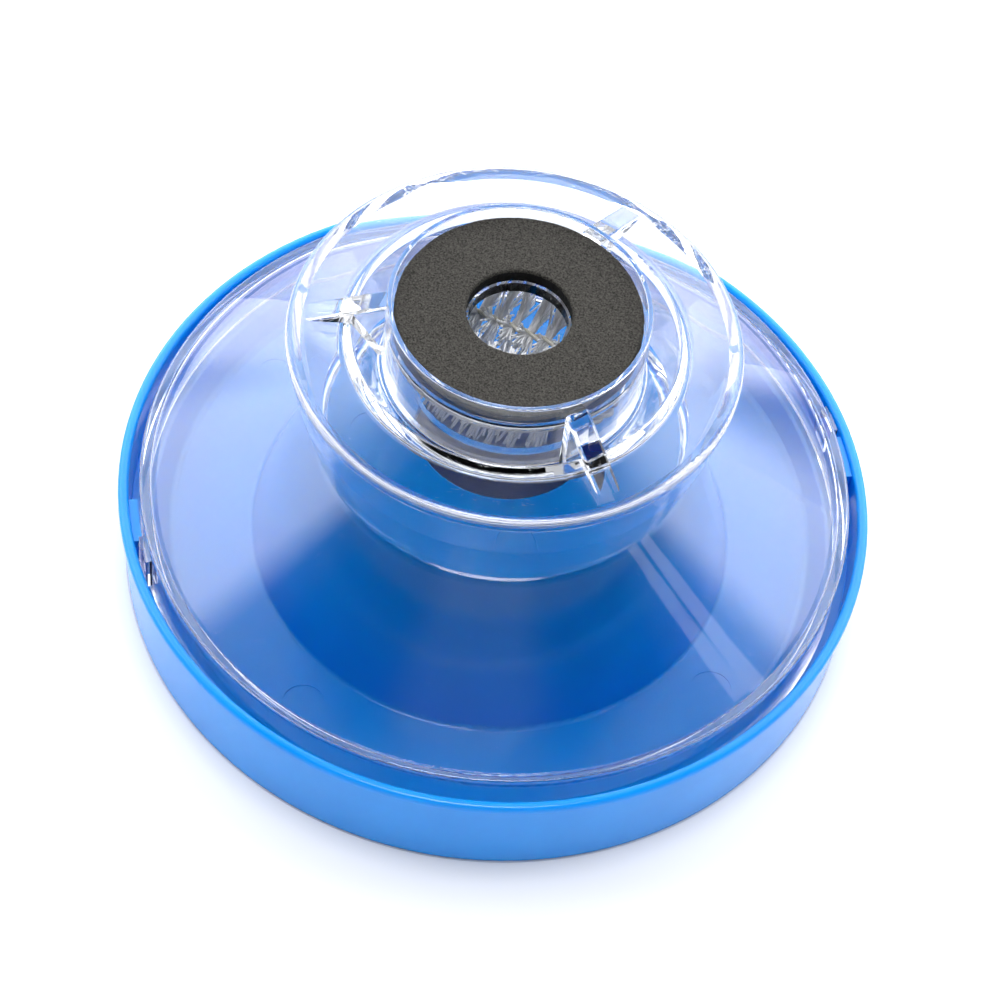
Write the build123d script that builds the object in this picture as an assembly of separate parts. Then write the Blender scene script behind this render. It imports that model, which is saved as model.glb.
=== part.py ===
"""Drill dust catcher: a blue tray with a clear two-piece cover, a foam pad and a brush.

Millimetres. +Z points up along the drilling axis, with the origin at the centre of the
ring that the tray stands on. The three ribs of the cap lie at 60, 180 and 300 degrees.
"""
import os
from math import atan2, cos, radians, sin

from build123d import *

# Tray
TRAY_RADIUS = 60.0          # over the bead
TRAY_HEIGHT = 17.5
BEAD_WIDTH = 1.7
BEAD_HEIGHT = 1.7
BEAD_OVERHANG = 0.35
BEAD_UNDERCUT = 0.3
FOOT_RADIUS = 58.8
FOOT_WIDTH = 2.0
TRAY_WALL = 2.0
FLOOR_TOP = 5.0
FLOOR_RADIUS = 51.0
LEDGE_TOP = 9.0
LEDGE_INNER_RADIUS = 53.6
RING_INNER_RADIUS = 58.0
UNDERSIDE_SHIFT = 0.8      # keeps the wall even where the floor steps up to the ledge
ROOT = 0.5                 # how far one block runs into another where they join

# Shallow round marks that the mould's ejector pins leave in the floor and in the hub's top
MARK_RADIUS = 3.3
MARK_DEPTH = 0.12
MARK_CUT_MARGIN = 1.0
MARK_COUNT = 4
FLOOR_MARK_RADIUS = 44.9
FLOOR_MARK_ANGLE = -35.0
HUB_MARK_RADIUS = 21.0
HUB_MARK_ANGLE = -80.0

# Hollow hub that rises from the tray's floor
HUB_FOOT_RADIUS = 37.8
HUB_TOP_RADIUS = 28.8
HUB_TOP = 31.8
HUB_HOLE_RADIUS = 14.2

# Clear cover: a skirt, a cone and a bulb that opens upwards from the waist
CLEAR_WALL = 2.0
SKIRT_RADIUS = 56.6
SKIRT_GAP = 0.05           # clearance under the skirt, over the tray's ledge
RIM_TOP = 19.7
RIM_LAND = 1.6
WAIST_RADIUS = 30.1
WAIST_HEIGHT = 34.8
BULB_WALL = 2.2
BULB_MID_RADIUS = 32.75
BULB_MID_HEIGHT = 44.6
BULB_TOP_RADIUS = 34.5
BULB_TOP = 53.0

# Lugs on the cover's skirt and the stops that they turn against
LUG_ANGLE = 201.2
STOP_ANGLE = 194.4
LUG_SPAN = 5.0
STOP_SPAN = 8.0
LUG_REACH = 1.0
LUG_LOW = 11.5
LUG_HIGH = 18.1
STOP_REACH = 1.1
STOP_TOP = 16.6
STOP_COUNT = 2

# Cap: a cup for the foam, a moat round the cup, a shoulder flush with the bulb, and three ribs
CAP_RADIUS = 34.75
CAP_EDGE_TOP = 55.0
SEAM_GAP = 0.05            # weld line between the bulb's top and the cap
MOAT_EDGE_RADIUS = 24.9
MOAT_EDGE_HEIGHT = 56.0
MOAT_FOOT = 48.3
MOAT_BACK_RADIUS = 26.0     # underside of the moat's outer edge
MOAT_BACK_HEIGHT = 53.9
CUP_FOOT_RADIUS = 19.9
CUP_TOP_RADIUS = 19.85
CUP_TOP = 62.6
CUP_INNER_RADIUS = 19.05
PLATE_TOP = 58.5
PLATE_THICKNESS = 1.9
PLATE_HOLE_RADIUS = 7.6
TUBE_BORE_RADIUS = 17.4
TUBE_FOOT = 46.0
TUBE_FOOT_RADIUS = 20.3
RIB_ANGLES = (60, 180, 300)
RIB_WIDTH = 3.75
RIB_TIP_RADIUS = 32.3
RIB_SHOULDER = 60.8
RIB_TIP_TOP = 55.05
RIB_ROOT_DEPTH = 0.9
RIB_ROUNDING = 0.6

# Foam pad and the film that holds it
FOAM_RADIUS = 18.8
FOAM_HOLE_RADIUS = 7.8
FOAM_TOP = 61.1
FILM_THICKNESS = 0.15
FILM_MARGIN = 0.6

# Twisted-wire brush, bent into a hairpin, and the ring that holds it in the tube
WIRE_DIAMETER = 1.36
WIRE_HEIGHT = 49.6
LEG_OFFSET = 5.6
LEG_BACK = -15.2
LEG_FRONT = 10.6
BRUSH_ANGLE = -20.4
BRISTLE_REACH = 14.8
BRISTLE_LOW = 46.4
BRISTLE_HIGH = 54.4
BRISTLE_BACK = -12.3
BRISTLE_FRONT = 10.4
BRISTLE_PARTING = 0.2
BRISTLE_CHANNEL = 0.75
KEEPER_INNER_RADIUS = 15.0
KEEPER_CLEARANCE = 0.05
PEG_RADIUS = 1.2
PEG_BACK = -13.8
PEG_BEND_INSET = 0.4
PEG_CLEARANCE = 0.05


def turned(*corners):
    """Solid of revolution about Z from (radius, height, corner rounding) points."""
    return revolve(make_face(Plane.XZ * turned_outline(*corners, close=True)), Axis.Z)


def turned_outline(*corners, close=False):
    """Outline through (radius, height, corner rounding) points; open ends aren't rounded."""
    points = [(radius, height) for radius, height, _ in corners]
    roundings = [rounding for _, _, rounding in (corners if close else corners[1:-1])]
    return FilletPolyline(*points, radius=roundings, close=close)


def ring_block(inner, outer, low, high, middle, span):
    """Block bent to a ring: inner and outer radius, low and high Z, angles in degrees."""
    ring = Pos(0, 0, low) * extrude(Circle(outer) - Circle(inner), high - low)
    reach = 2 * outer
    left = (reach * cos(radians(span / 2)), reach * sin(radians(span / 2)))
    right = (left[0], -left[1])
    wedge = make_face(Polyline((0, 0), left, right, close=True))
    sector = Rot(0, 0, middle) * Pos(0, 0, low) * extrude(wedge, high - low)
    return ring & sector


def around(count, first_angle):
    """Angles of count equal steps round the axis."""
    return [first_angle + step * 360 / count for step in range(count)]


def base_tray():
    """Blue tray: ring wall with a bead, ledge, floor and hollow hub, in one moulding."""
    wall_top = TRAY_HEIGHT - BEAD_HEIGHT
    wall_radius = TRAY_RADIUS - BEAD_OVERHANG
    bead_inner = TRAY_RADIUS - BEAD_WIDTH
    floor_bottom = FLOOR_TOP - TRAY_WALL
    ledge_bottom = LEDGE_TOP - TRAY_WALL
    foot_inner = FOOT_RADIUS - FOOT_WIDTH
    tray = turned(
        (foot_inner, 0, 0.3),
        (FOOT_RADIUS, 0, 0.4),
        (wall_radius, wall_top, 0.15),
        (TRAY_RADIUS, wall_top + BEAD_UNDERCUT, 0.25),
        (TRAY_RADIUS, TRAY_HEIGHT, 0.8),
        (bead_inner, TRAY_HEIGHT, 0.7),
        (RING_INNER_RADIUS, LEDGE_TOP, 0.3),
        (LEDGE_INNER_RADIUS, LEDGE_TOP, 0.8),
        (FLOOR_RADIUS, FLOOR_TOP, 1.5),
        (HUB_FOOT_RADIUS, FLOOR_TOP, 0.8),
        (HUB_TOP_RADIUS, HUB_TOP, 1.6),
        (HUB_HOLE_RADIUS, HUB_TOP, 0.4),
        (HUB_HOLE_RADIUS, HUB_TOP - TRAY_WALL, 0),
        (HUB_TOP_RADIUS - TRAY_WALL, HUB_TOP - TRAY_WALL, 0.8),
        (HUB_FOOT_RADIUS - TRAY_WALL, floor_bottom, 1.5),
        (FLOOR_RADIUS - UNDERSIDE_SHIFT, floor_bottom, 1.5),
        (LEDGE_INNER_RADIUS - UNDERSIDE_SHIFT, ledge_bottom, 0.8),
        (foot_inner, ledge_bottom, 0.5),
    )
    stop_inner = RING_INNER_RADIUS - STOP_REACH
    stop_outer = RING_INNER_RADIUS + ROOT
    for angle in around(STOP_COUNT, STOP_ANGLE):
        tray += ring_block(stop_inner, stop_outer, LEDGE_TOP - ROOT, STOP_TOP, angle, STOP_SPAN)
    tray -= marks(FLOOR_MARK_RADIUS, FLOOR_TOP, FLOOR_MARK_ANGLE)
    tray -= marks(HUB_MARK_RADIUS, HUB_TOP, HUB_MARK_ANGLE)
    return tray


def marks(radius, surface, first_angle):
    """Discs that cut the ejector pins' marks into a level surface."""
    disc = extrude(Circle(MARK_RADIUS), MARK_DEPTH + MARK_CUT_MARGIN)
    return [
        Rot(0, 0, angle) * Pos(radius, 0, surface - MARK_DEPTH) * disc
        for angle in around(MARK_COUNT, first_angle)
    ]


def clear_cover():
    """Clear hourglass: skirt over the tray's ledge, cone, waist, and bulb with a flat top edge."""
    skirt_inner = SKIRT_RADIUS - CLEAR_WALL
    cone_foot = SKIRT_RADIUS - RIM_LAND
    cone_slope = atan2(WAIST_HEIGHT - RIM_TOP, cone_foot - WAIST_RADIUS)
    cone_drop = CLEAR_WALL / cos(cone_slope)
    bulb_inner_foot = WAIST_RADIUS - BULB_WALL
    skirt_foot = LEDGE_TOP + SKIRT_GAP
    skirt = turned_outline(
        (WAIST_RADIUS, WAIST_HEIGHT, 0),
        (cone_foot, RIM_TOP, 0.3),
        (SKIRT_RADIUS, RIM_TOP, 0.55),
        (SKIRT_RADIUS, skirt_foot, 0.3),
        (skirt_inner, skirt_foot, 0.3),
        (skirt_inner, RIM_TOP - cone_drop, 1.0),
        (bulb_inner_foot, WAIST_HEIGHT - cone_drop, 0),
    )
    inside = ThreePointArc(
        (bulb_inner_foot, WAIST_HEIGHT - cone_drop),
        (BULB_MID_RADIUS - BULB_WALL, BULB_MID_HEIGHT),
        (BULB_TOP_RADIUS - BULB_WALL, BULB_TOP),
    )
    top = Line((BULB_TOP_RADIUS - BULB_WALL, BULB_TOP), (BULB_TOP_RADIUS, BULB_TOP))
    outside = ThreePointArc(
        (BULB_TOP_RADIUS, BULB_TOP),
        (BULB_MID_RADIUS, BULB_MID_HEIGHT),
        (WAIST_RADIUS, WAIST_HEIGHT),
    )
    section = make_face(Plane.XZ * Curve([skirt, inside, top, outside]))
    cover = revolve(section, Axis.Z)
    lug_inner = SKIRT_RADIUS - ROOT
    lug_outer = SKIRT_RADIUS + LUG_REACH
    for angle in around(STOP_COUNT, LUG_ANGLE):
        cover += ring_block(lug_inner, lug_outer, LUG_LOW, LUG_HIGH, angle, LUG_SPAN)
    return cover


def top_cap():
    """Clear cap, welded to the bulb: cup for the foam, drilled plate, moat, shoulder, ribs and pegs."""
    plate_bottom = PLATE_TOP - PLATE_THICKNESS
    seam = BULB_TOP + SEAM_GAP
    cap = turned(
        (PLATE_HOLE_RADIUS, plate_bottom, 0),
        (TUBE_BORE_RADIUS, plate_bottom, 0.8),
        (TUBE_BORE_RADIUS, TUBE_FOOT, 0.2),
        (TUBE_FOOT_RADIUS, TUBE_FOOT, 0.5),
        (MOAT_BACK_RADIUS, MOAT_BACK_HEIGHT, 1.5),
        (BULB_TOP_RADIUS - BULB_WALL, seam, 0),
        (BULB_TOP_RADIUS, seam, 0),
        (CAP_RADIUS, CAP_EDGE_TOP, 1.1),
        (MOAT_EDGE_RADIUS, MOAT_EDGE_HEIGHT, 0.5),
        (CUP_FOOT_RADIUS, MOAT_FOOT, 0.4),
        (CUP_TOP_RADIUS, CUP_TOP, 0.25),
        (CUP_INNER_RADIUS, CUP_TOP, 0.15),
        (CUP_INNER_RADIUS, PLATE_TOP, 0),
        (PLATE_HOLE_RADIUS, PLATE_TOP, 0),
    )
    for angle in RIB_ANGLES:
        cap += Rot(0, 0, angle) * rib()
    peg = extrude(Circle(PEG_RADIUS), plate_bottom - peg_foot() + ROOT)
    for x, y in peg_places():
        cap += Rot(0, 0, BRUSH_ANGLE) * Pos(x, y, peg_foot()) * peg
    return cap


def rib():
    """Rib along +X, from the cup's wall across the moat to the shoulder, rooted in both."""
    root = RIB_ROOT_DEPTH
    outline = Polyline(
        (CUP_FOOT_RADIUS - root, RIB_SHOULDER),
        (RIB_TIP_RADIUS, RIB_TIP_TOP),
        (RIB_TIP_RADIUS, CAP_EDGE_TOP - root),
        (MOAT_EDGE_RADIUS, MOAT_EDGE_HEIGHT - root),
        (CUP_FOOT_RADIUS, MOAT_FOOT - root),
        (CUP_FOOT_RADIUS - root, MOAT_FOOT - root),
        close=True,
    )
    blank = extrude(make_face(Plane.XZ * outline), RIB_WIDTH / 2, both=True)
    top_edges = blank.faces().sort_by(Axis.Z)[-1].edges()
    return fillet(top_edges.filter_by(Axis.Y, reverse=True), RIB_ROUNDING)


def peg_foot():
    """Height of the pegs' lower ends, just above the brush's wire."""
    return WIRE_HEIGHT + WIRE_DIAMETER / 2 + PEG_CLEARANCE


def peg_places():
    """Pegs over both ends of the hairpin and over its bend, before the brush's turn."""
    bend_apex = LEG_FRONT + LEG_OFFSET
    return [(PEG_BACK, LEG_OFFSET), (PEG_BACK, -LEG_OFFSET), (bend_apex - PEG_BEND_INSET, 0)]


def washer(outer, inner, low, high):
    """Flat ring between two heights."""
    return Pos(0, 0, low) * extrude(Circle(outer) - Circle(inner), high - low)


def foam_ring():
    """Foam pad in the cap's cup."""
    return washer(FOAM_RADIUS, FOAM_HOLE_RADIUS, PLATE_TOP + FILM_THICKNESS, FOAM_TOP)


def foam_adhesive():
    """Adhesive film under the foam pad."""
    outer = FOAM_RADIUS - FILM_MARGIN
    inner = FOAM_HOLE_RADIUS + FILM_MARGIN
    return washer(outer, inner, PLATE_TOP, PLATE_TOP + FILM_THICKNESS)


def brush_keeper():
    """Ring pressed into the foot of the tube, which holds the brush up against the pegs."""
    top = WIRE_HEIGHT - WIRE_DIAMETER / 2
    return washer(TUBE_BORE_RADIUS - KEEPER_CLEARANCE, KEEPER_INNER_RADIUS, TUBE_FOOT, top)


def hairpin():
    """Centre line of the brush before its turn: two legs and the bend."""
    apex = (LEG_FRONT + LEG_OFFSET, 0)
    first_end = (LEG_FRONT, LEG_OFFSET)
    second_end = (LEG_FRONT, -LEG_OFFSET)
    first = Line((LEG_BACK, LEG_OFFSET), first_end)
    bend = ThreePointArc(first_end, apex, second_end)
    second = Line(second_end, (LEG_BACK, -LEG_OFFSET))
    return Pos(0, 0, WIRE_HEIGHT) * Wire([first, bend, second])


def brush_wire():
    """Outer shape of the twisted pair of wires, along the whole hairpin."""
    start = Plane(origin=(LEG_BACK, LEG_OFFSET, WIRE_HEIGHT), z_dir=(1, 0, 0))
    return Rot(0, 0, BRUSH_ANGLE) * sweep(start * Circle(WIRE_DIAMETER / 2), hairpin())


def brush_bristles():
    """Space that the bristles fill: a block round each leg of the wire, cut to the tube's round."""
    length = BRISTLE_FRONT - BRISTLE_BACK
    width = BRISTLE_REACH - BRISTLE_PARTING
    height = BRISTLE_HIGH - BRISTLE_LOW
    middle_x = BRISTLE_BACK + length / 2
    middle_y = BRISTLE_PARTING + width / 2
    bore = Pos(0, 0, BRISTLE_LOW) * extrude(Circle(BRISTLE_REACH), height)
    blocks = []
    for side in (1, -1):
        blank = Pos(middle_x, side * middle_y, BRISTLE_LOW + height / 2) * Box(length, width, height)
        start = Plane(origin=(BRISTLE_BACK, side * LEG_OFFSET, WIRE_HEIGHT), z_dir=(1, 0, 0))
        channel = extrude(start * Circle(BRISTLE_CHANNEL), length)
        blocks.append(Rot(0, 0, BRUSH_ANGLE) * (blank & bore - channel))
    return Compound(children=blocks)


NODES = {
    "base_tray": base_tray,
    "clear_cover": clear_cover,
    "top_cap": top_cap,
    "foam_ring": foam_ring,
    "foam_adhesive": foam_adhesive,
    "brush_wire": brush_wire,
    "brush_bristles": brush_bristles,
    "brush_keeper": brush_keeper,
}

os.makedirs("parts", exist_ok=True)
for node, make in NODES.items():
    export_step(make(), f"parts/{node}.step")
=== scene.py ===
import random
from math import cos, hypot, pi, radians, sin

import bmesh
import bpy
from mathutils import Matrix, Vector
from mathutils import noise as field


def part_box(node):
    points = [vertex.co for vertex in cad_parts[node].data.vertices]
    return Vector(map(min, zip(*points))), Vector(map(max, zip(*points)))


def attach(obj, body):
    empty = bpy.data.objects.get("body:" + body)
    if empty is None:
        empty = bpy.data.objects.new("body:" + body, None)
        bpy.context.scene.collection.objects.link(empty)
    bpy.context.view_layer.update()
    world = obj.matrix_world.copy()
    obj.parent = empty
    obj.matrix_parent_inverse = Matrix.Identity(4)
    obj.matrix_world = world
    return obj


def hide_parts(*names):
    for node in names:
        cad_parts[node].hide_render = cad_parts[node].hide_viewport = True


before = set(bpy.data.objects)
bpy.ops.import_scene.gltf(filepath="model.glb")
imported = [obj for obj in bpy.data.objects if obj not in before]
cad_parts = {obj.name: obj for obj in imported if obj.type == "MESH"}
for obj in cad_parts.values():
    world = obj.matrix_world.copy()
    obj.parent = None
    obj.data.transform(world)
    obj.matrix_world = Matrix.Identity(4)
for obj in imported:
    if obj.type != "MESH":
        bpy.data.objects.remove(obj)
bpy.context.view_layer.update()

scene = bpy.context.scene
scene.view_settings.view_transform = "Standard"

# Light that is trapped in the clear plastic's edges needs many mirror bounces to come out again.
EDGE_BOUNCES = 24
WHITE_BOUNCES = 12           # and light between white bristles needs many scattered ones
scene.cycles.max_bounces = EDGE_BOUNCES
scene.cycles.glossy_bounces = EDGE_BOUNCES
scene.cycles.transmission_bounces = EDGE_BOUNCES
scene.cycles.diffuse_bounces = WHITE_BOUNCES

# ---------------------------------------------------------------- camera
CAMERA_AZIMUTH = radians(-1.5)
CAMERA_ELEVATION = radians(53.44)
CAMERA_DISTANCE = 0.5
CAMERA_TARGET_HEIGHT = 0.01749
CAMERA_YAW = radians(-0.12)
CAMERA_PITCH = radians(-0.28)
CAMERA_ROLL = radians(7.78)
CAMERA_LENS = 112.62


def make_camera():
    back = Vector((0, -cos(CAMERA_ELEVATION), sin(CAMERA_ELEVATION)))
    right = Vector((1, 0, 0))
    up = back.cross(right)
    place = back * CAMERA_DISTANCE + Vector((0, 0, CAMERA_TARGET_HEIGHT))
    turn = Matrix.Rotation(CAMERA_YAW, 3, up) @ Matrix.Rotation(CAMERA_PITCH, 3, right)
    back, right = turn @ back, turn @ right
    right = Matrix.Rotation(CAMERA_ROLL, 3, back) @ right
    up = back.cross(right)
    axes = Matrix((right, up, back)).transposed().to_4x4()
    data = bpy.data.cameras.new("camera")
    data.lens = CAMERA_LENS
    data.clip_start = 0.01
    data.clip_end = 50
    camera = bpy.data.objects.new("camera", data)
    scene.collection.objects.link(camera)
    camera.matrix_world = Matrix.Rotation(CAMERA_AZIMUTH, 4, "Z") @ Matrix.Translation(place) @ axes
    scene.camera = camera


# ---------------------------------------------------------------- stage
# Azimuths here are in degrees from +Y, the back, and grow towards +X, the right.
CEILING_GLOW = 0.2
HORIZON_GLOW = 0.62
ZENITH_GLOW = 12.0
BACK_GLOW = 3.0
SIDE_GLOW = 3.2
NADIR = -90
SIDE_FOOT = 18               # the side lights end above the horizon, so clear walls show against it
STRIP_GLOW = 2.6
FRONT_GLOW = 0.22
FLOOR_GLOW = 0.2
FLOOR_GLOW_START = 0.059     # the lit table begins at the object's foot
SHADE_DEPTH = 0.93           # how much of the ceiling's glow the two dark panels take away


def math_node(tree, operation, *values):
    node = tree.nodes.new("ShaderNodeMath")
    node.operation = operation
    for socket, value in zip(node.inputs, values):
        if isinstance(value, (int, float)):
            socket.default_value = value
        else:
            tree.links.new(value, socket)
    return node.outputs[0]


def slope(tree, value, start, end, low=0.0, high=1.0):
    """Smooth step of a value in degrees, from low at start to high at end."""
    node = tree.nodes.new("ShaderNodeMapRange")
    node.interpolation_type = "SMOOTHSTEP"
    numbers = (radians(start), radians(end), low, high)
    for name, number in zip(("From Min", "From Max", "To Min", "To Max"), numbers):
        node.inputs[name].default_value = number
    tree.links.new(value, node.inputs["Value"])
    return node.outputs["Result"]


def window(tree, value, low, high, soft):
    """1 between low and high, falling to 0 over soft degrees on either side."""
    rise = slope(tree, value, low - soft, low)
    fall = slope(tree, value, high, high + soft, 1, 0)
    return math_node(tree, "MULTIPLY", rise, fall)


def panel(tree, azimuth, elevation, across, upward, soft, strength):
    """Soft-edged bright panel in the surroundings, between two azimuths and two elevations."""
    wide = window(tree, azimuth, *across, soft)
    tall = window(tree, elevation, *upward, 10)
    return math_node(tree, "MULTIPLY", math_node(tree, "MULTIPLY", wide, tall), strength)


def make_world():
    world = bpy.data.worlds.new("studio")
    scene.world = world
    world.use_nodes = True
    tree = world.node_tree
    coord = tree.nodes.new("ShaderNodeTexCoord")
    split = tree.nodes.new("ShaderNodeSeparateXYZ")
    tree.links.new(coord.outputs["Generated"], split.inputs[0])
    x, y, z = split.outputs
    azimuth = math_node(tree, "ARCTAN2", x, y)
    elevation = math_node(tree, "ARCSINE", z)
    turned_away = math_node(tree, "ABSOLUTE", azimuth)
    glow = slope(tree, elevation, 34, 46, HORIZON_GLOW, CEILING_GLOW)
    for across, soft, upward in (((104, 180), 9, (44, 72)), ((0, 26), 14, (66, 73))):
        shade = panel(tree, turned_away, elevation, across, upward, soft, SHADE_DEPTH)
        glow = math_node(tree, "MULTIPLY", glow, math_node(tree, "SUBTRACT", 1.0, shade))
    glow = math_node(tree, "ADD", glow, slope(tree, elevation, 75, 83, 0, ZENITH_GLOW))
    panels = (
        panel(tree, azimuth, elevation, (-34, 28), (NADIR, 54), 8, BACK_GLOW),
        panel(tree, azimuth, elevation, (34, 74), (SIDE_FOOT, 58), 9, SIDE_GLOW),
        panel(tree, azimuth, elevation, (88.2, 91.4), (NADIR, 62), 0.9, STRIP_GLOW),
        panel(tree, azimuth, elevation, (-85, -38), (SIDE_FOOT, 58), 7, SIDE_GLOW),
        panel(tree, turned_away, elevation, (162, 180), (50, 66), 24, FRONT_GLOW),
    )
    for one in panels:
        glow = math_node(tree, "ADD", glow, one)
    background = tree.nodes["Background"]
    background.inputs["Color"].default_value = (0.97, 0.98, 1, 1)
    tree.links.new(glow, background.inputs["Strength"])


def make_floor():
    bpy.ops.mesh.primitive_plane_add(size=6)
    floor = bpy.context.object
    floor.name = "floor"
    material, tree, shader = new_material("floor")
    shader.inputs["Base Color"].default_value = grey(0.74)
    shader.inputs["Roughness"].default_value = 0.9
    shader.inputs["Specular IOR Level"].default_value = 0.0
    shader.inputs["Emission Color"].default_value = grey(1)
    coord = tree.nodes.new("ShaderNodeTexCoord")
    length = tree.nodes.new("ShaderNodeVectorMath")
    length.operation = "LENGTH"
    tree.links.new(coord.outputs["Object"], length.inputs[0])
    outside = math_node(tree, "GREATER_THAN", length.outputs["Value"], FLOOR_GLOW_START)
    tree.links.new(math_node(tree, "MULTIPLY", outside, FLOOR_GLOW), shader.inputs["Emission Strength"])
    floor.data.materials.append(material)


# ---------------------------------------------------------------- materials
FOAM_PAINTED_SHADE_TOP = 0.0605       # below this height the foam's cut sides get a painted shade, darker than its face
FOAM_SIDE_PAINTED_SHADE_GREY = 0.004


def new_material(name):
    material = bpy.data.materials.new(name)
    material.use_nodes = True
    tree = material.node_tree
    return material, tree, tree.nodes["Principled BSDF"]


def noise(tree, scale, detail=3, roughness=0.5, stretch=(1, 1, 1)):
    """Noise in the object's own metres, with scale in features per metre."""
    coord = tree.nodes.new("ShaderNodeTexCoord")
    place = tree.nodes.new("ShaderNodeMapping")
    place.inputs["Scale"].default_value = stretch
    node = tree.nodes.new("ShaderNodeTexNoise")
    node.inputs["Scale"].default_value = scale
    node.inputs["Detail"].default_value = detail
    node.inputs["Roughness"].default_value = roughness
    tree.links.new(coord.outputs["Object"], place.inputs["Vector"])
    tree.links.new(place.outputs["Vector"], node.inputs["Vector"])
    return node.outputs["Fac"]


def ramp(tree, source, low, high, start=0.35, end=0.65):
    node = tree.nodes.new("ShaderNodeValToRGB")
    node.color_ramp.elements[0].position = start
    node.color_ramp.elements[1].position = end
    node.color_ramp.elements[0].color = low
    node.color_ramp.elements[1].color = high
    tree.links.new(source, node.inputs["Fac"])
    return node.outputs["Color"]


def bump(tree, shader, source, distance, strength=1.0):
    node = tree.nodes.new("ShaderNodeBump")
    node.inputs["Distance"].default_value = distance
    node.inputs["Strength"].default_value = strength
    tree.links.new(source, node.inputs["Height"])
    tree.links.new(node.outputs["Normal"], shader.inputs["Normal"])


def grey(value):
    return (value, value, value, 1)


def blue_plastic():
    """Moulded, fairly glossy azure plastic with faint flow marks and fine scuffs."""
    material, tree, shader = new_material("blue_plastic")
    flow = noise(tree, 70, 4)
    colour = ramp(tree, flow, (0.0, 0.262, 0.82, 1), (0.001, 0.285, 0.87, 1))
    tree.links.new(colour, shader.inputs["Base Color"])
    scuffs = noise(tree, 900, 4, 0.6, (1, 1, 0.25))
    tree.links.new(ramp(tree, scuffs, grey(0.14), grey(0.18)), shader.inputs["Roughness"])
    bump(tree, shader, noise(tree, 3200, 2), 0.000001, 0.4)
    shader.inputs["IOR"].default_value = 1.5
    shader.inputs["Specular IOR Level"].default_value = 0.36
    shader.inputs["Subsurface Weight"].default_value = 0.25
    shader.inputs["Subsurface Radius"].default_value = (0.1, 0.5, 1.0)
    shader.inputs["Subsurface Scale"].default_value = 0.004
    return material


def clear_plastic():
    """Clear polished plastic with hairline scratches, slight waves and fingermarks."""
    material, tree, shader = new_material("clear_plastic")
    shader.inputs["Base Color"].default_value = (0.955, 0.965, 0.982, 1)
    shader.inputs["Transmission Weight"].default_value = 1
    shader.inputs["IOR"].default_value = 1.5
    marks = noise(tree, 160, 5, 0.6)
    tree.links.new(ramp(tree, marks, grey(0.0), grey(0.035), 0.5, 0.75), shader.inputs["Roughness"])
    scratches = noise(tree, 420, 2, 0.5, (1, 9, 1))
    bump(tree, shader, ramp(tree, scratches, grey(0), grey(1), 0.69, 0.72), 0.000006, 0.35)
    return material


def foam_rubber():
    """Dark foam: a grey mottled face, and cut sides painted nearly black as painted shade."""
    material, tree, shader = new_material("foam_rubber")
    cells = noise(tree, 3400, 3, 0.7)
    face = ramp(tree, cells, (0.008, 0.0075, 0.006, 1), (0.062, 0.058, 0.051, 1), 0.36, 0.64)
    coord = tree.nodes.new("ShaderNodeTexCoord")
    split = tree.nodes.new("ShaderNodeSeparateXYZ")
    tree.links.new(coord.outputs["Object"], split.inputs[0])
    # painted shade: below the height limit the cut sides get a near-black grey in place of the face's
    # mottled colour
    above_painted_shade = math_node(tree, "GREATER_THAN", split.outputs["Z"], FOAM_PAINTED_SHADE_TOP)
    mix = tree.nodes.new("ShaderNodeMixRGB")
    mix.inputs["Color1"].default_value = grey(FOAM_SIDE_PAINTED_SHADE_GREY)
    tree.links.new(above_painted_shade, mix.inputs["Fac"])
    tree.links.new(face, mix.inputs["Color2"])
    tree.links.new(mix.outputs["Color"], shader.inputs["Base Color"])
    shader.inputs["Roughness"].default_value = 0.92
    shader.inputs["Specular IOR Level"].default_value = 0.3
    bump(tree, shader, cells, 0.00012, 0.7)
    return material


def adhesive_film():
    material, tree, shader = new_material("adhesive_film")
    streaks = noise(tree, 500, 3, 0.5, (1, 4, 1))
    colour = ramp(tree, streaks, (0.72, 0.66, 0.48, 1), (0.82, 0.77, 0.6, 1))
    tree.links.new(colour, shader.inputs["Base Color"])
    shader.inputs["Roughness"].default_value = 0.35
    bump(tree, shader, streaks, 0.00002, 0.5)
    return material


def steel_wire():
    """Drawn wire, a warm dull grey with drawing marks."""
    material, tree, shader = new_material("steel_wire")
    marks = noise(tree, 2500, 3, 0.6)
    colour = ramp(tree, marks, (0.50, 0.48, 0.42, 1), (0.70, 0.68, 0.61, 1))
    tree.links.new(colour, shader.inputs["Base Color"])
    tree.links.new(ramp(tree, marks, grey(0.32), grey(0.5)), shader.inputs["Roughness"])
    shader.inputs["Metallic"].default_value = 0.35
    return material


def nylon():
    """White nylon filament, a little see-through."""
    material, tree, shader = new_material("nylon")
    tone = noise(tree, 700, 2)
    colour = ramp(tree, tone, (0.93, 0.94, 0.97, 1), (0.98, 0.985, 1.0, 1))
    tree.links.new(colour, shader.inputs["Base Color"])
    shader.inputs["Roughness"].default_value = 0.35
    shader.inputs["Transmission Weight"].default_value = 0.12
    return material


# ---------------------------------------------------------------- mesh helpers
def new_piece(name, points, faces, material, node, body="cover"):
    """Mesh object that rides on a body and stands for a CAD node."""
    mesh = bpy.data.meshes.new(name)
    mesh.from_pydata(points, [], faces)
    mesh.validate()
    mesh.shade_smooth()
    piece = bpy.data.objects.new(name, mesh)
    scene.collection.objects.link(piece)
    mesh.materials.append(material)
    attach(piece, body)
    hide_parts(node)
    return piece


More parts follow.
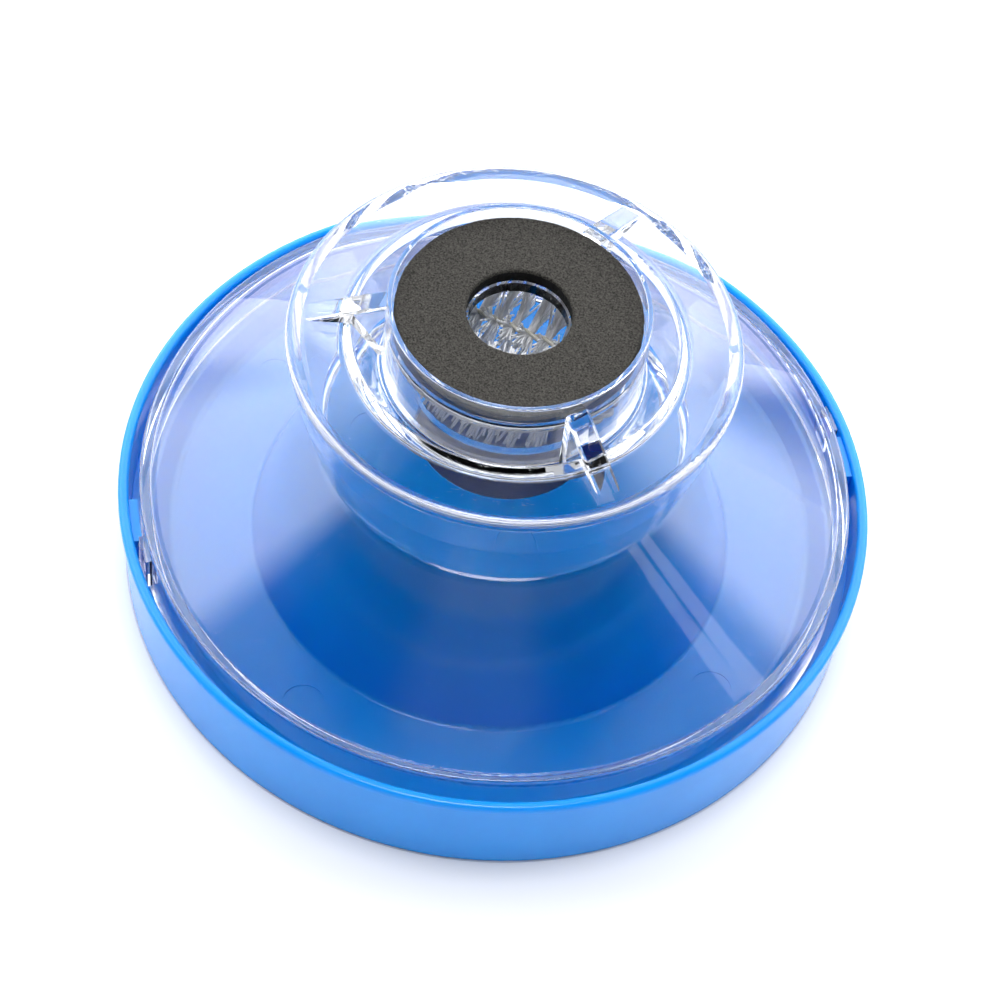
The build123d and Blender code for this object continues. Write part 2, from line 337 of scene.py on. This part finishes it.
def add_tube(points, faces, line, radii, sides):
    """Add a capped tube along a line of points to the lists of points and faces."""
    first = len(points)
    for index, centre in enumerate(line):
        ahead = line[min(index + 1, len(line) - 1)] - line[max(index - 1, 0)]
        side = ahead.cross(Vector((0.31, 0.17, 0.93))).normalized()
        over = ahead.cross(side).normalized()
        for step in range(sides):
            turn = 2 * pi * step / sides
            points.append(centre + (side * cos(turn) + over * sin(turn)) * radii[index])
    for index in range(len(line) - 1):
        low = first + index * sides
        for step in range(sides):
            after = (step + 1) % sides
            faces.append((low + step, low + after, low + sides + after, low + sides + step))
    last = first + (len(line) - 1) * sides
    faces.append(tuple(first + step for step in reversed(range(sides))))
    faces.append(tuple(last + step for step in range(sides)))


# ---------------------------------------------------------------- weld
WELD_LOW = 0.05298           # the two faces that are welded together lie between these heights
WELD_HIGH = 0.05307
WELD_INNER_RADIUS = 0.032


def make_welded(name, node, material):
    """A moulding without its welded face, since light crosses a weld as if it weren't there."""
    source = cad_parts[node]
    work = bmesh.new()
    work.from_mesh(source.data)
    work.transform(source.matrix_world)
    seam = [
        face for face in work.faces
        if all(
            WELD_LOW < corner.co.z < WELD_HIGH and hypot(corner.co.x, corner.co.y) > WELD_INNER_RADIUS
            for corner in face.verts
        )
    ]
    bmesh.ops.delete(work, geom=seam, context="FACES")
    mesh = bpy.data.meshes.new(name)
    work.to_mesh(mesh)
    work.free()
    mesh.materials.clear()
    mesh.materials.append(material)
    piece = bpy.data.objects.new(name, mesh)
    scene.collection.objects.link(piece)
    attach(piece, "cover")
    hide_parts(node)


# ---------------------------------------------------------------- foam
FOAM_HOLE_RADIUS = 0.0078
FOAM_EDGE = 0.00022          # worn rounding of the die-cut edges
FOAM_CELL = 0.00042
FOAM_RELIEF = 0.00009
FOAM_WAVE = 0.00006
FOAM_STEPS_ROUND = 420
FOAM_STEPS_ACROSS = 46
FOAM_STEPS_UP = 9


def foam_section(inner, outer, low, high):
    """Closed outline of the ring's section, as (radius, height) points."""
    def run(start, end, steps):
        return [
            (start[0] + (end[0] - start[0]) * k / steps, start[1] + (end[1] - start[1]) * k / steps)
            for k in range(steps)
        ]

    edge = FOAM_EDGE
    corners = (
        ((inner, low), (outer, low), FOAM_STEPS_ACROSS // 4),
        ((outer, low), (outer, high - edge), FOAM_STEPS_UP),
        ((outer, high - edge), (outer - edge, high), 2),
        ((outer - edge, high), (inner + edge, high), FOAM_STEPS_ACROSS),
        ((inner + edge, high), (inner, high - edge), 2),
        ((inner, high - edge), (inner, low), FOAM_STEPS_UP),
    )
    return [point for start, end, steps in corners for point in run(start, end, steps)]


def make_foam(material):
    """Foam ring whose skin is broken by small cells and whose cut edges are a little uneven."""
    low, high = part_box("foam_ring")
    margin = FOAM_RELIEF + FOAM_WAVE
    section = foam_section(FOAM_HOLE_RADIUS + margin, high[0] - margin, low[2], high[2] - margin)
    middle = ((FOAM_HOLE_RADIUS + high[0]) / 2, (low[2] + high[2]) / 2)
    points, faces = [], []
    for step in range(FOAM_STEPS_ROUND):
        turn = 2 * pi * step / FOAM_STEPS_ROUND
        for radius, height in section:
            place = Vector((radius * cos(turn), radius * sin(turn), height))
            cell = field.noise(place / FOAM_CELL)
            wave = field.noise(place / (9 * FOAM_CELL))
            lift = FOAM_RELIEF * cell + FOAM_WAVE * wave if height > low[2] else 0
            reach = (radius - middle[0], height - middle[1])
            on_top = height > high[2] - margin - FOAM_EDGE / 2
            away = Vector((0, 0, 1)) if on_top else Vector((cos(turn), sin(turn), 0)) * (reach[0] > 0 or -1)
            points.append(place + away * lift)
    count = len(section)
    for step in range(FOAM_STEPS_ROUND):
        here, there = step * count, (step + 1) % FOAM_STEPS_ROUND * count
        for k in range(count):
            after = (k + 1) % count
            faces.append((here + k, there + k, there + after, here + after))
    piece = new_piece("foam_pad", points, faces, material, "foam_ring")


# ---------------------------------------------------------------- brush
BRUSH_ANGLE = radians(-20.4)
LEG_OFFSET = 0.0056
LEG_BACK = -0.0152
LEG_FRONT = 0.0106
TWIST = 0.0056               # length of one full turn of the pair
TWIST_STEPS = 22
STRAND_SIDES = 10
BRISTLE_BACK = -0.0121
BRISTLE_FRONT = 0.0102
BRISTLE_REACH = 0.0146
BRISTLE_MIDDLE = 0.0003      # nearest that a bristle comes to the brush's middle line
BRISTLE_LENGTH = 0.0088
BRISTLE_RADIUS = 0.00017
BRISTLES_PER_LEG = 700
BRISTLE_STEPS = 5
BRISTLE_SIDES = 5
LUMP_PULL = 0.45             # how far bristles bunch towards the middle of each half twist
FAN_SPREAD = 0.24            # radians that a bristle strays from its place in the spiral


def brush_frame():
    """Height of the wire's centre line and the radius of each of its two strands."""
    low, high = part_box("brush_wire")
    return (low[2] + high[2]) / 2, (high[2] - low[2]) / 4


def hairpin(distance):
    """Point, outward direction and direction of travel, at a distance along the hairpin."""
    leg = LEG_FRONT - LEG_BACK
    bend = pi * LEG_OFFSET
    if distance <= leg:
        return Vector((LEG_BACK + distance, LEG_OFFSET, 0)), Vector((0, 1, 0))
    if distance < leg + bend:
        turn = pi / 2 - (distance - leg) / LEG_OFFSET
        away = Vector((cos(turn), sin(turn), 0))
        return Vector((LEG_FRONT, 0, 0)) + away * LEG_OFFSET, away
    return Vector((LEG_FRONT - (distance - leg - bend), -LEG_OFFSET, 0)), Vector((0, -1, 0))


def make_wire(material):
    """Two strands twisted round each other along the hairpin."""
    height, strand = brush_frame()
    whole = 2 * (LEG_FRONT - LEG_BACK) + pi * LEG_OFFSET
    steps = int(whole / TWIST * TWIST_STEPS)
    turn_brush = Matrix.Rotation(BRUSH_ANGLE, 3, "Z")
    points, faces = [], []
    for half in (0, pi):
        line = []
        for step in range(steps + 1):
            distance = whole * step / steps
            centre, away = hairpin(distance)
            turn = 2 * pi * distance / TWIST + half
            offset = (away * cos(turn) + Vector((0, 0, 1)) * sin(turn)) * strand
            line.append(turn_brush @ (centre + offset) + Vector((0, 0, height)))
        radii = [strand] * len(line)
        radii[0] = radii[-1] = strand * 0.7
        add_tube(points, faces, line, radii, STRAND_SIDES)
    new_piece("twisted_wire", points, faces, material, "brush_wire")


def bristle_reach(start, heading, low, high):
    """Length that a bristle can have before it leaves the space held for it."""
    reach = BRISTLE_LENGTH
    for _ in range(40):
        end = start + heading * reach
        inside = hypot(end.x, end.y) < BRISTLE_REACH and low < end.z < high
        if inside and abs(end.y) > BRISTLE_MIDDLE and end.y * start.y > 0:
            break
        reach *= 0.93
    return reach


def make_bristles(material):
    """Nylon filaments gripped between the strands, which leave in a spiral fan on both legs."""
    height, strand = brush_frame()
    low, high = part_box("brush_bristles")
    chance = random.Random(7)
    turn_brush = Matrix.Rotation(BRUSH_ANGLE, 3, "Z")
    points, faces = [], []
    for side in (1, -1):
        for _ in range(BRISTLES_PER_LEG):
            along = chance.uniform(BRISTLE_BACK, BRISTLE_FRONT)
            lump = round(along / (TWIST / 2)) * TWIST / 2
            along += (lump - along) * LUMP_PULL
            travel = along - LEG_BACK
            if side < 0:
                travel = LEG_FRONT - along + pi * LEG_OFFSET + LEG_FRONT - LEG_BACK
            turn = 2 * pi * travel / TWIST + pi / 2 + chance.gauss(0, FAN_SPREAD)
            turn += pi * chance.randrange(2)
            out = Vector((chance.gauss(0, 0.10), side * cos(turn), sin(turn))).normalized()
            start = Vector((along, side * LEG_OFFSET, height)) + out * strand * 0.6
            if not BRISTLE_BACK < start.x < BRISTLE_FRONT:
                continue
            reach = bristle_reach(start, out, low[2] + BRISTLE_RADIUS, high[2] - BRISTLE_RADIUS)
            reach *= chance.uniform(0.9, 1.0)
            sag = Vector((chance.gauss(0, 0.02), 0, -abs(chance.gauss(0, 0.03))))
            line = []
            for step in range(BRISTLE_STEPS):
                part = step / (BRISTLE_STEPS - 1)
                place = start + out * reach * part + sag * reach * part * part
                place.z = max(place.z, low[2] + BRISTLE_RADIUS)
                line.append(turn_brush @ place)
            radii = [BRISTLE_RADIUS] * BRISTLE_STEPS
            add_tube(points, faces, line, radii, BRISTLE_SIDES)
    new_piece("bristle_filaments", points, faces, material, "brush_bristles")


# ---------------------------------------------------------------- assembly
MATERIALS = {
    "base_tray": blue_plastic(),
    "brush_keeper": clear_plastic(),
    "foam_adhesive": adhesive_film(),
}

make_camera()
make_world()
make_floor()
for node, material in MATERIALS.items():
    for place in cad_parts[node].material_slots:
        place.material = material
make_welded("cover_moulding", "clear_cover", clear_plastic())
make_welded("cap_moulding", "top_cap", clear_plastic())
make_foam(foam_rubber())
make_wire(steel_wire())
make_bristles(nylon())
